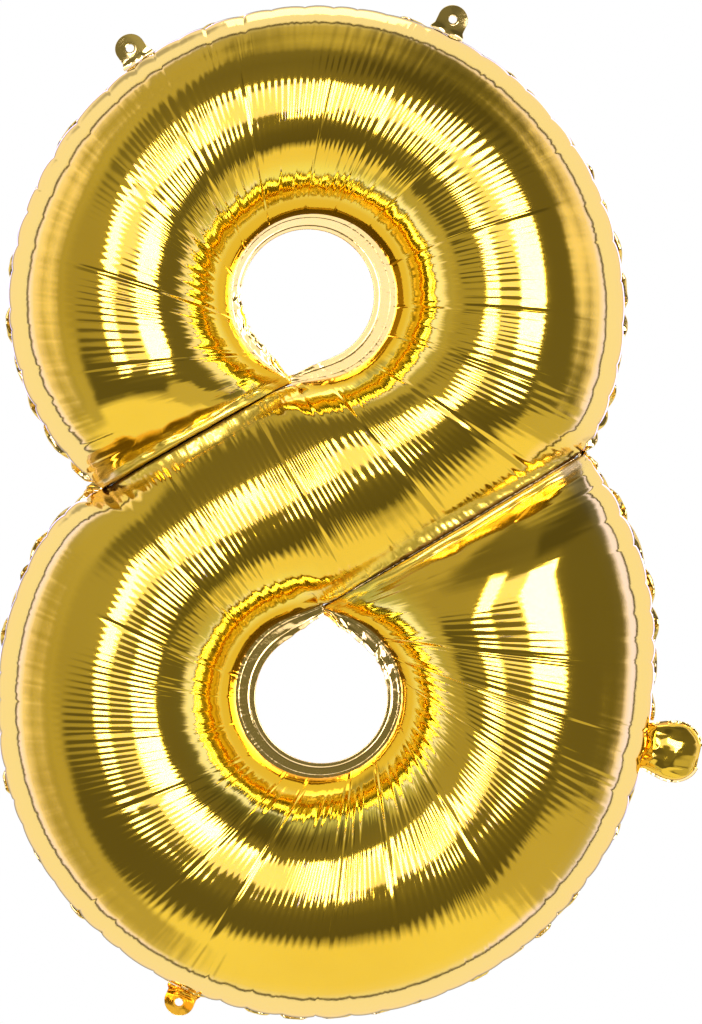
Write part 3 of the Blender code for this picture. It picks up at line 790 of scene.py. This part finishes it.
def makeNeckSeam(name, side, seed):
    k = neck
    s = np.linspace(0, 1, k["lipColumns"] + 1)[:, None]
    t = np.linspace(-0.5, 1, k["lipRows"] + 1)[None, :]
    ruffle = foldNoise(seed, s * 13, s * 0 + 0.5, 0.8)
    edge = np.clip(neckHalf(s), k["endHalf"], None)
    x = edge + k["lip"] * np.where(t < 0, t, t * (0.85 + 0.15 * ruffle)) * smoothStep(-0.1, 0.25, s)
    y = k["length"] * s + 0.0016 * np.maximum(t, 0) * smoothStep(0.7, 1.0, s)
    high = np.maximum(t, 0) * (ruffle - 0.5) * 0.0008
    stand = neckFrame()
    points = standOn(stand, np.stack(np.broadcast_arrays(side * x, y, high), -1))
    uv = np.stack(np.broadcast_arrays(k["length"] * s, t * k["lip"]), -1)
    piece = sheetFromGrid(name, points, uv, stand[:3, 2])
    giveWall(piece, k["wall"] * 0.8)
    return piece


print("welds, tabs and neck")
outerFlange = makeFlange()
upperRing = makeRing("upperRing", "upper", 21, -1, 1)
lowerRing = makeRing("lowerRing", "lower", 31, -1, -1)
upperSeam = makeSlitSeam("upperSlitWeld", upperSlit, 23)
lowerSeam = makeSlitSeam("lowerSlitWeld", lowerSlit, 33)
topLeftTab = makeTab("topLeftTongue", *tabPlaces["topLeft"], 0, 41, 1, 1.0)
topRightTab = makeTab("topRightTongue", *tabPlaces["topRight"], 0, 42, -1, 0.8)
bottomLeftTab = makeTab("bottomLeftTongue", *tabPlaces["bottomLeft"], tab["bottomFold"], 43, 1, 1.5)
neckFront = makeNeckFilm("neckFrontSkin", -1, 51)
neckBack = makeNeckFilm("neckBackSkin", 1, 55)
neckUpper = makeNeckSeam("neckUpperWeld", -1, 61)
neckLower = makeNeckSeam("neckLowerWeld", 1, 63)


def nodeMaker(tree):
    def make(kind, x, y, **values):
        node = tree.nodes.new(kind)
        node.location = (x, y)
        for key, value in values.items():
            if key.startswith("in_"):
                node.inputs[key[3:].replace("_", " ")].default_value = value
            else:
                setattr(node, key, value)
        return node
    return make


# Film crinkle: a fine height pattern and a mask
def makeCrinkleGroup():
    group = bpy.data.node_groups.new("filmCrinkle", "ShaderNodeTree")
    for name, value in (("Scale", 60.0), ("Sharpness", 1.0)):
        socket = group.interface.new_socket(name, in_out="INPUT", socket_type="NodeSocketFloat")
        socket.default_value = value
    group.interface.new_socket("Vector", in_out="INPUT", socket_type="NodeSocketVector")
    for name in ("Height", "Mask"):
        group.interface.new_socket(name, in_out="OUTPUT", socket_type="NodeSocketFloat")
    make, links = nodeMaker(group), group.links
    entry, leave = make("NodeGroupInput", -600, 0), make("NodeGroupOutput", 600, 0)
    broad = make("ShaderNodeTexNoise", -300, 200, in_Detail=4.0, in_Roughness=0.6)
    facets = make("ShaderNodeTexVoronoi", -300, -100, feature="SMOOTH_F1", in_Smoothness=0.35)
    half = make("ShaderNodeMath", -480, -200, operation="MULTIPLY")
    half.inputs[1].default_value = 0.55
    mixHeight = make("ShaderNodeMath", 100, 100, operation="MULTIPLY")
    fold = make("ShaderNodeMath", -80, -100, operation="POWER")
    links.new(entry.outputs["Vector"], broad.inputs["Vector"])
    links.new(entry.outputs["Vector"], facets.inputs["Vector"])
    links.new(entry.outputs["Scale"], broad.inputs["Scale"])
    links.new(entry.outputs["Scale"], half.inputs[0])
    links.new(half.outputs[0], facets.inputs["Scale"])
    links.new(facets.outputs["Distance"], fold.inputs[0])
    links.new(entry.outputs["Sharpness"], fold.inputs[1])
    links.new(broad.outputs["Fac"], mixHeight.inputs[0])
    links.new(fold.outputs[0], mixHeight.inputs[1])
    links.new(mixHeight.outputs[0], leave.inputs["Height"])
    links.new(broad.outputs["Fac"], leave.inputs["Mask"])
    return group


crinkleGroup = makeCrinkleGroup()

# The lighter golds by a hole, by the rim and by a slit are painted reflections and highlights; the darker
# golds by a hole's weld and in a slit are painted shade
filmLook = {
    "deep": (0.90, 0.55, 0.014, 1), "light": (0.96, 0.61, 0.022, 1), "roughLow": 0.06, "roughHigh": 0.11,
    "coat": 0.8, "crinkle": 90.0, "sharpness": 1.0, "bump": 0.02, "bumpDepth": 0.004, "streaks": 0.00028,
    "byHole": (0.98, 0.80, 0.09, 1), "rimReflection": (0.98, 0.70, 0.20, 1),
    "weldShade": (0.80, 0.48, 0.035, 1), "rollHighlight": (0.98, 0.68, 0.05, 1), "slitRough": 0.36,
    "slitShade": (0.10, 0.042, 0.006, 1), "edge": (1.0, 0.80, 0.45, 1),
}
weldLook = {
    "deep": (0.87, 0.59, 0.09, 1), "light": (0.94, 0.66, 0.14, 1), "roughLow": 0.05, "roughHigh": 0.10,
    "coat": 0.7, "crinkle": 260.0, "sharpness": 0.8, "bump": 0.06, "bumpDepth": 0.002,
    "edge": (1.0, 0.88, 0.65, 1),
}
valveLook = {"light": (0.88, 0.90, 0.90, 1), "deep": (0.74, 0.78, 0.80, 1), "roughness": 0.30, "alpha": 0.55}


# Metallised film: gold that runs a little deeper in places, finely crinkled, under a clear coat; a look's
# marks add painted highlights, reflections and shade to its colour
def goldMaterial(name, look):
    material = bpy.data.materials.new(name)
    material.use_nodes = True
    tree = material.node_tree
    make, links = nodeMaker(tree), tree.links
    shader = tree.nodes["Principled BSDF"]
    shader.inputs["Metallic"].default_value = 1.0
    shader.inputs["Specular Tint"].default_value = look["edge"]
    shader.inputs["Coat Weight"].default_value = look["coat"]
    shader.inputs["Coat Roughness"].default_value = 0.04
    shader.inputs["Coat IOR"].default_value = 1.5
    place = make("ShaderNodeTexCoord", -1100, 0)
    crinkle = make("ShaderNodeGroup", -850, 0, node_tree=crinkleGroup)
    crinkle.inputs["Scale"].default_value = look["crinkle"]
    crinkle.inputs["Sharpness"].default_value = look["sharpness"]
    tint = make("ShaderNodeValToRGB", -500, 250)
    tint.color_ramp.elements[0].position = 0.30
    tint.color_ramp.elements[0].color = look["deep"]
    tint.color_ramp.elements[1].position = 0.70
    tint.color_ramp.elements[1].color = look["light"]
    cloud = make("ShaderNodeTexNoise", -850, 300, in_Scale=9.0, in_Detail=3.0)
    rough = make("ShaderNodeMapRange", -500, 0)
    rough.inputs["To Min"].default_value = look["roughLow"]
    rough.inputs["To Max"].default_value = look["roughHigh"]
    bump = make("ShaderNodeBump", -250, -250, in_Strength=look["bump"], in_Distance=look["bumpDepth"])
    links.new(place.outputs["Object"], crinkle.inputs["Vector"])
    links.new(place.outputs["Object"], cloud.inputs["Vector"])
    links.new(cloud.outputs["Fac"], tint.inputs["Fac"])
    color = tint.outputs["Color"]
    # Painted light and shade in the base colour: a painted highlight by a slit, a painted reflection by a
    # hole, painted shade by a hole's weld, a painted reflection by the rim and painted shade in a slit
    for mark, height in (("rollHighlight", 350), ("byHole", 500), ("weldShade", 650), ("rimReflection", 800), ("slitShade", 950)):
        if mark in look:
            color = mixByMark(tree, mark, color, look[mark], height)
    links.new(color, shader.inputs["Base Color"])
    if "byHole" in look:
        links.new(lessCoatInWeldShade(tree, look["coat"]).outputs["Result"], shader.inputs["Coat Weight"])
    links.new(crinkle.outputs["Mask"], rough.inputs["Value"])
    if "slitRough" in look:
        # The mark of the painted roll highlight also gives the roll a satin roughness
        roll = make("ShaderNodeAttribute", -500, -950, attribute_name="rollHighlight")
        satin = make("ShaderNodeMix", -250, -950, data_type="FLOAT")
        satin.inputs[3].default_value = look["slitRough"]
        links.new(roll.outputs["Fac"], satin.inputs[0])
        links.new(rough.outputs["Result"], satin.inputs[2])
        links.new(satin.outputs[0], shader.inputs["Roughness"])
    else:
        links.new(rough.outputs["Result"], shader.inputs["Roughness"])
    links.new(crinkle.outputs["Height"], bump.inputs["Height"])
    if "streaks" in look:
        links.new(addStreaks(tree, look["streaks"]).outputs["Normal"], bump.inputs["Normal"])
    links.new(bump.outputs["Normal"], shader.inputs["Normal"])
    return material


# Another gold where a mark on the film says so; each such mark paints light or shade into the colour
def mixByMark(tree, mark, color, other, height):
    make, links = nodeMaker(tree), tree.links
    share = make("ShaderNodeAttribute", -500, height, attribute_name=mark)
    mix = make("ShaderNodeMix", -250, height - 150, data_type="RGBA")
    mix.inputs[7].default_value = other
    links.new(share.outputs["Fac"], mix.inputs[0])
    links.new(color, mix.inputs[6])
    return mix.outputs[2]


# The clear coat is taken off along the painted shade beside a hole's weld, which darkens that painted shade
# further
def lessCoatInWeldShade(tree, coat):
    make, links = nodeMaker(tree), tree.links
    weld = make("ShaderNodeAttribute", -500, -700, attribute_name="weldShade")
    bare = make("ShaderNodeMapRange", -250, -700)
    bare.inputs["To Min"].default_value = coat
    bare.inputs["To Max"].default_value = 0.0
    links.new(weld.outputs["Fac"], bare.inputs["Value"])
    return bare


# Hair-fine wrinkles that run across the tube, where the film is finely rippled
def addStreaks(tree, depth):
    make, links = nodeMaker(tree), tree.links
    lay = make("ShaderNodeUVMap", -1500, -500, uv_map="lay")
    stretch = make("ShaderNodeMapping", -1300, -500)
    stretch.inputs["Scale"].default_value = (330.0, 28.0, 1.0)
    hairs = make("ShaderNodeTexNoise", -1050, -500, in_Scale=1.0, in_Detail=1.5, in_Roughness=0.5)
    fine = make("ShaderNodeAttribute", -1050, -750, attribute_name="fine")
    height = make("ShaderNodeMath", -800, -550, operation="MULTIPLY")
    bump = make("ShaderNodeBump", -550, -500, in_Strength=1.0, in_Distance=depth)
    links.new(lay.outputs["UV"], stretch.inputs["Vector"])
    links.new(stretch.outputs["Vector"], hairs.inputs["Vector"])
    links.new(hairs.outputs["Fac"], height.inputs[0])
    links.new(fine.outputs["Fac"], height.inputs[1])
    links.new(height.outputs[0], bump.inputs["Height"])
    return bump


def valveMaterial(name, look):
    material = bpy.data.materials.new(name)
    material.use_nodes = True
    tree = material.node_tree
    make, links = nodeMaker(tree), tree.links
    shader = tree.nodes["Principled BSDF"]
    shader.inputs["Roughness"].default_value = look["roughness"]
    shader.inputs["Alpha"].default_value = look["alpha"]
    place = make("ShaderNodeTexCoord", -900, 0)
    crinkle = make("ShaderNodeGroup", -650, 0, node_tree=crinkleGroup)
    crinkle.inputs["Scale"].default_value = 180.0
    tint = make("ShaderNodeValToRGB", -350, 150)
    tint.color_ramp.elements[0].color = look["deep"]
    tint.color_ramp.elements[1].color = look["light"]
    bump = make("ShaderNodeBump", -250, -200, in_Strength=0.2, in_Distance=0.001)
    links.new(place.outputs["Object"], crinkle.inputs["Vector"])
    links.new(crinkle.outputs["Mask"], tint.inputs["Fac"])
    links.new(tint.outputs["Color"], shader.inputs["Base Color"])
    links.new(crinkle.outputs["Height"], bump.inputs["Height"])
    links.new(bump.outputs["Normal"], shader.inputs["Normal"])
    return material


print("materials")
goldFilm = goldMaterial("goldFilm", filmLook)
goldWeld = goldMaterial("goldWeld", weldLook)
valveFilm = valveMaterial("valveFilm", valveLook)

for piece, node, body, slot, material in (
        (frontFilm, "front_film", "balloon", "gold_film", goldFilm),
        (backFilm, "back_film", "balloon", "gold_film", goldFilm),
        (outerFlange, "outer_seam_flange", "balloon", "gold_weld", goldWeld),
        (upperRing, "upper_hole_seam", "balloon", "gold_weld", goldWeld),
        (lowerRing, "lower_hole_seam", "balloon", "gold_weld", goldWeld),
        (upperSeam, "upper_slit_seam", "balloon", "gold_weld", goldWeld),
        (lowerSeam, "lower_slit_seam", "balloon", "gold_weld", goldWeld),
        (topLeftTab, "top_left_tab", "top_left_tab", "gold_weld", goldWeld),
        (topRightTab, "top_right_tab", "top_right_tab", "gold_weld", goldWeld),
        (bottomLeftTab, "bottom_left_tab", "bottom_left_tab", "gold_weld", goldWeld),
        (neckFront, "neck_front_film", "inflation_neck", "gold_film", goldFilm),
        (neckBack, "neck_back_film", "inflation_neck", "gold_film", goldFilm),
        (neckUpper, "neck_upper_seam", "inflation_neck", "gold_weld", goldWeld),
        (neckLower, "neck_lower_seam", "inflation_neck", "gold_weld", goldWeld)):
    piece.data.materials.append(material)
    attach(piece, body)
    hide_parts(node)
for name in ("valve_sleeve", "neck_valve_mouth"):
    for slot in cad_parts[name].material_slots:
        slot.material = valveFilm


print("studio")
studio = {
    "distance": 2.6,
    "viewHeight": 0.8806,     # how much the picture takes in at the weld's plane, top to bottom
    "aim": (0.0513, -0.4117),
    "floor": -2.60,
    "floorSize": 8.0,
}


def makeCamera():
    data = bpy.data.cameras.new("camera")
    data.sensor_fit = "VERTICAL"
    data.sensor_height = 36
    data.lens = 36 * studio["distance"] / studio["viewHeight"]
    camera = bpy.data.objects.new("camera", data)
    bpy.context.scene.collection.objects.link(camera)
    camera.location = (studio["aim"][0], -studio["distance"], studio["aim"][1])
    camera.rotation_euler = (math.pi / 2, 0, 0)
    bpy.context.scene.camera = camera


def areaLight(name, place, target, size, power):
    data = bpy.data.lights.new(name, "AREA")
    data.shape = "RECTANGLE"
    data.size, data.size_y = size
    data.energy = power
    light = bpy.data.objects.new(name, data)
    bpy.context.scene.collection.objects.link(light)
    light.location = place
    light.rotation_euler = (Vector(target) - Vector(place)).to_track_quat("-Z", "Y").to_euler()


# The room that the foil mirrors, in degrees right of the camera and above it: soft panels over a dim front,
# a white floor below and a white backdrop behind
room = {
    "frontByHeight": ((-90, 0.95), (-48, 1.0), (-42, 0.50), (-37, 0.12), (-20, 0.14), (-8, 0.22),
                      (35, 0.21), (55, 0.18), (68, 0.20), (80, 0.60), (90, 1.0)),
    "panels": (  # left, right, bottom, top, softness, brightness
        (-100, -72, -60, 82, 5, 1.15),
        (-72, -52, -60, 82, 7, 0.52),
        (-62, -21, -6, 30, 8, 0.42),
        (72, 100, -60, 82, 5, 1.10),
        (36, 80, -46, -23, 4, 0.60),
        (38, 70, -18, 62, 5, 0.16),
        (12, 62, 40, 62, 6, 0.10),
        (-52, -12, -40, -9, 4, 0.13),
        (-9, 12, 0.5, 28, 1.5, 1.35),
        (-12, 12, -12, -0.8, 1.2, 0.19),
        (12, 36, -7, 28, 1.5, 8.0),
        (-21, -9, -6, 34, 1.5, 7.0),
    ),
    "tint": (1.0, 1.0, 2.1),   # of the bright panels
    "darkEdge": 0.12,          # beside the white backdrop, which starts just in front of the weld's plane
    "backdropFrom": (-0.05, -0.035),
    "behind": 0.30,
    "panelsBehind": ((150, 170, -10, 28, 4, 1.6), (-172, -160, -6, 30, 3, 1.5), (-150, -125, 35, 60, 6, 0.5)),
}


def makeWorld():
    world = bpy.data.worlds.new("room")
    bpy.context.scene.world = world
    world.use_nodes = True
    tree = world.node_tree
    make, links = nodeMaker(tree), tree.links

    def calc(operation, first, second=None):
        node = make("ShaderNodeMath", 0, 0, operation=operation)
        for socket, value in zip(node.inputs, (first, second)):
            if isinstance(value, (int, float)):
                socket.default_value = value
            elif value is not None:
                links.new(value, socket)
        return node.outputs[0]

    def step(value, low, high):
        node = make("ShaderNodeMapRange", 0, 0, interpolation_type="SMOOTHSTEP")
        links.new(value, node.inputs["Value"])
        node.inputs["From Min"].default_value = low
        node.inputs["From Max"].default_value = high
        return node.outputs["Result"]

    def between(value, low, high, soft):
        return calc("MULTIPLY", step(value, low - soft, low + soft),
                    calc("SUBTRACT", 1, step(value, high - soft, high + soft)))

    def mix(share, first, second):
        node = make("ShaderNodeMix", 0, 0, data_type="RGBA")
        links.new(share, node.inputs[0])
        links.new(first, node.inputs[6])
        node.inputs[7].default_value = (*second, 1)
        return node.outputs[2]

    def addPanels(color, panels):
        for left, rightEnd, bottom, top, soft, value in panels:
            share = calc("MULTIPLY", between(right, left, rightEnd, soft), between(above, bottom, top, soft))
            color = mix(share, color, [value * part for part in (room["tint"] if value > 1 else (1, 1, 1))])
        return color

    white = (1, 1, 1)
    parts = make("ShaderNodeSeparateXYZ", -1000, 0)
    links.new(make("ShaderNodeTexCoord", -1200, 0).outputs["Generated"], parts.inputs[0])
    x, y, z = parts.outputs
    right = calc("DEGREES", calc("ARCTAN2", x, calc("MULTIPLY", y, -1)))
    above = calc("DEGREES", calc("ARCSINE", z))
    ramp = make("ShaderNodeValToRGB", -700, 200)
    stops = room["frontByHeight"]
    while len(ramp.color_ramp.elements) < len(stops):
        ramp.color_ramp.elements.new(0.5)
    for element, (height, value) in zip(ramp.color_ramp.elements, stops):
        element.position = (height + 90) / 180
        element.color = (value, value, value, 1)
    links.new(calc("DIVIDE", calc("ADD", above, 90), 180), ramp.inputs["Fac"])
    color = ramp.outputs["Color"]
    color = addPanels(color, room["panels"])
    edge = calc("MULTIPLY", step(y, -0.115, -0.085), calc("SUBTRACT", 1, step(y, *room["backdropFrom"])))
    color = mix(edge, color, [room["darkEdge"]] * 3)
    color = mix(step(y, *room["backdropFrom"]), color, white)
    color = mix(step(y, 0.72, 0.97), color, [room["behind"]] * 3)
    color = addPanels(color, room["panelsBehind"])
    color = mix(make("ShaderNodeLightPath", 0, 0).outputs["Is Camera Ray"], color, white)
    links.new(color, tree.nodes["Background"].inputs["Color"])


def makeFloor():
    bm = bmesh.new()
    bmesh.ops.create_grid(bm, x_segments=1, y_segments=1, size=studio["floorSize"])
    mesh = bpy.data.meshes.new("floor")
    bm.to_mesh(mesh)
    bm.free()
    mesh.transform(Matrix.Translation((0, 0, studio["floor"])))
    floor = bpy.data.objects.new("floor", mesh)
    bpy.context.scene.collection.objects.link(floor)
    material = bpy.data.materials.new("paleFloor")
    material.use_nodes = True
    shader = material.node_tree.nodes["Principled BSDF"]
    shader.inputs["Base Color"].default_value = (0.93, 0.91, 0.70, 1)
    shader.inputs["Roughness"].default_value = 0.8
    mesh.materials.append(material)
    floor.visible_glossy = False


makeCamera()
makeWorld()
makeFloor()
areaLight("softTop", (0.0, 1.4, 2.6), (0, 0.2, -0.41), (1.6, 1.6), 12)
bpy.context.scene.view_settings.view_transform = "Standard"
